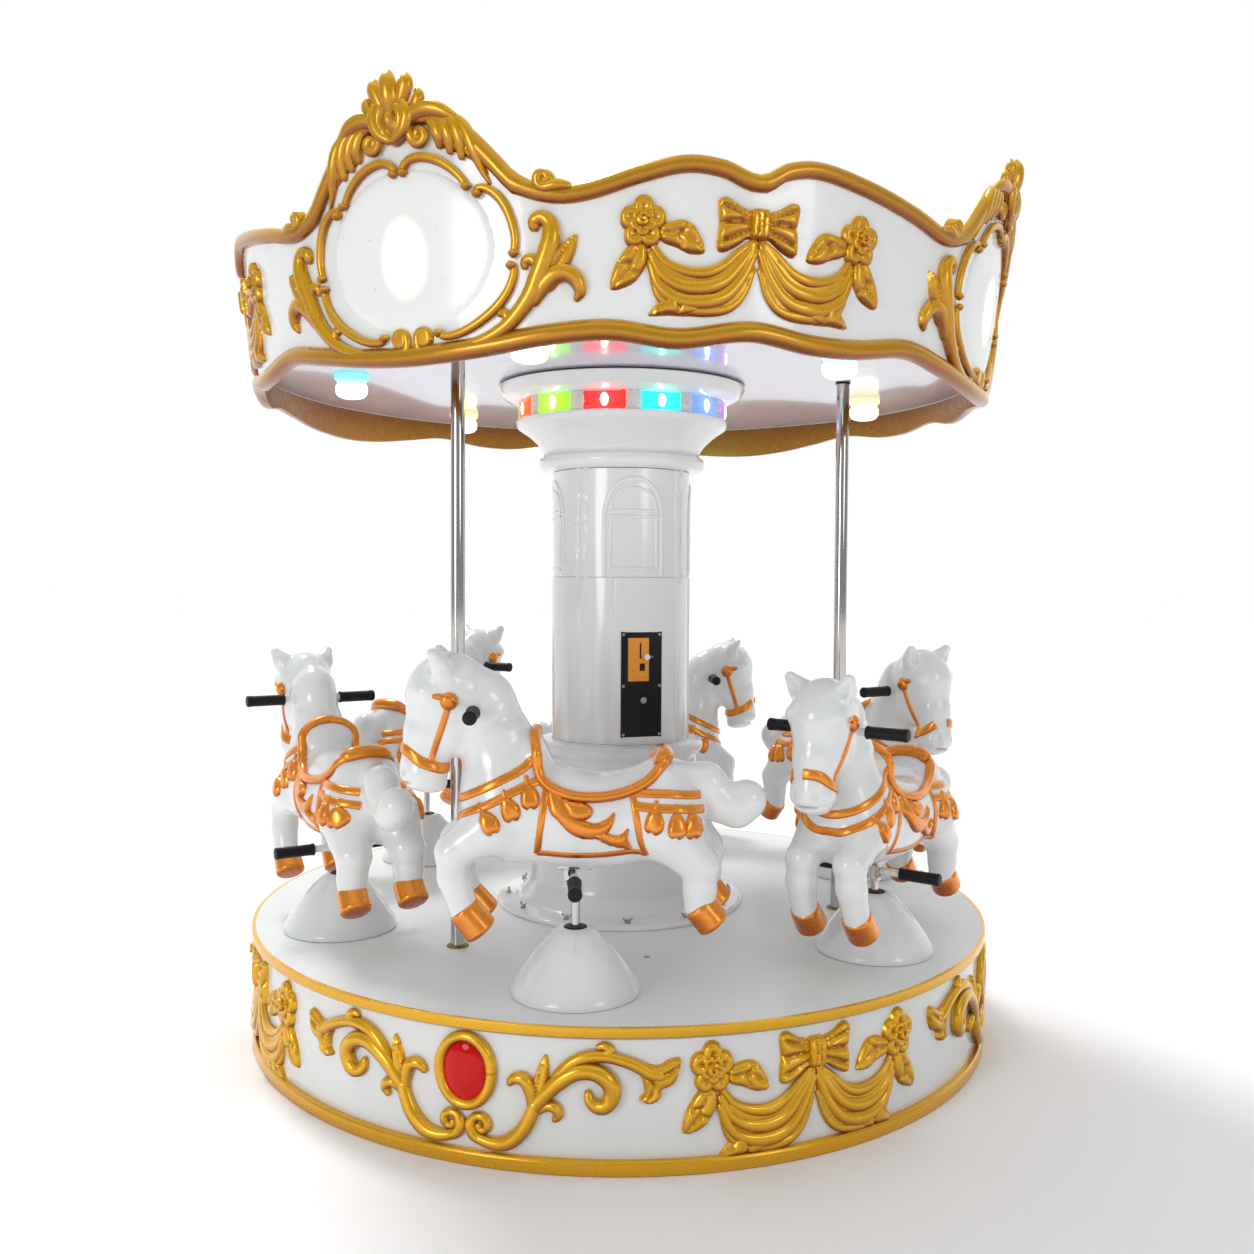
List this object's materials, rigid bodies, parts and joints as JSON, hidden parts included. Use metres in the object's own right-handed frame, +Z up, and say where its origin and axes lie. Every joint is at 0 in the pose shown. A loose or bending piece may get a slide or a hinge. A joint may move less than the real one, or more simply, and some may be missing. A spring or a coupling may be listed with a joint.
{
  "type": "fairground carousel",
  "caption": "Children's carousel: round base, turning deck with column, poles and crown canopy, and horses that rise and fall on rods over cone-shaped pedestals.",
  "frame": {"origin": "centre of the base's underside on the floor, on the turning axis", "axes": "+Z up along the turning axis, -Y towards the front of the picture, +X to the right"},
  "size_m": [2.2616, 2.2616, 2.45],
  "materials": {
    "white_gelcoat": "glossy white gelcoat on moulded glass-fibre",
    "gold_paint": "metallic gold paint on moulded glass-fibre relief",
    "chrome": "polished chromed tube",
    "black_rubber": "matt black moulded rubber",
    "black_enamel": "satin black enamel",
    "red_cabochon": "clear glossy red cast acrylic in a gold frame",
    "led_acrylic": "lit clear acrylic band with coloured lights",
    "bearing_steel": "machined steel"
  },
  "bodies": {
    "base": {"base_housing": "white_gelcoat", "base_ring": "gold_paint", "slewing_bearing": "bearing_steel", "base_medallion_1": "red_cabochon", "base_medallion_2": "red_cabochon", "base_medallion_3": "red_cabochon", "base_medallion_4": "red_cabochon"},
    "turntable": {"deck": "white_gelcoat", "deck_rim": "gold_paint", "column_foot": "white_gelcoat", "column_lower": "white_gelcoat", "column_upper": "white_gelcoat", "capital": "white_gelcoat", "led_band": "led_acrylic", "coin_panel": "black_enamel", "ceiling": "white_gelcoat", "canopy_panel_1": "gold_paint", "canopy_panel_2": "gold_paint", "canopy_panel_3": "gold_paint", "canopy_panel_4": "gold_paint", "pole_1": "chrome", "pole_2": "chrome", "pole_3": "chrome", "pedestal_1": "white_gelcoat", "pedestal_2": "white_gelcoat", "pedestal_3": "white_gelcoat", "pedestal_4": "white_gelcoat", "pedestal_5": "white_gelcoat", "pedestal_6": "white_gelcoat"},
    "horse_ride_1": {"horse_1": "white_gelcoat", "horse_mount_1": "chrome", "handlebar_1": "black_rubber"},
    "horse_ride_2": {"horse_2": "white_gelcoat", "horse_mount_2": "chrome", "handlebar_2": "black_rubber"},
    "horse_ride_3": {"horse_3": "white_gelcoat", "horse_mount_3": "chrome", "handlebar_3": "black_rubber"},
    "horse_ride_4": {"horse_4": "white_gelcoat", "horse_mount_4": "chrome", "handlebar_4": "black_rubber"},
    "horse_ride_5": {"horse_5": "white_gelcoat", "horse_mount_5": "chrome", "handlebar_5": "black_rubber"},
    "horse_ride_6": {"horse_6": "white_gelcoat", "horse_mount_6": "chrome", "handlebar_6": "black_rubber"}
  },
  "joints": [
    {"name": "turntable_spin", "type": "hinge", "parent": "base", "child": "turntable", "pos_m": [0, 0, 0.308], "axis": [0, 0, 1], "continuous": true},
    {"name": "horse_jump_1", "type": "slide", "parent": "turntable", "child": "horse_ride_1", "axis": [0, 0, 1], "range_m": [-0.09, 0.01]},
    {"name": "horse_jump_2", "type": "slide", "parent": "turntable", "child": "horse_ride_2", "axis": [0, 0, 1], "range_m": [-0.025, 0.075]},
    {"name": "horse_jump_3", "type": "slide", "parent": "turntable", "child": "horse_ride_3", "axis": [0, 0, 1], "range_m": [-0.05, 0.05]},
    {"name": "horse_jump_4", "type": "slide", "parent": "turntable", "child": "horse_ride_4", "axis": [0, 0, 1], "range_m": [-0.03, 0.07]},
    {"name": "horse_jump_5", "type": "slide", "parent": "turntable", "child": "horse_ride_5", "axis": [0, 0, 1], "range_m": [-0.08, 0.02]},
    {"name": "horse_jump_6", "type": "slide", "parent": "turntable", "child": "horse_ride_6", "axis": [0, 0, 1], "range_m": [-0.04, 0.06]}
  ]
}
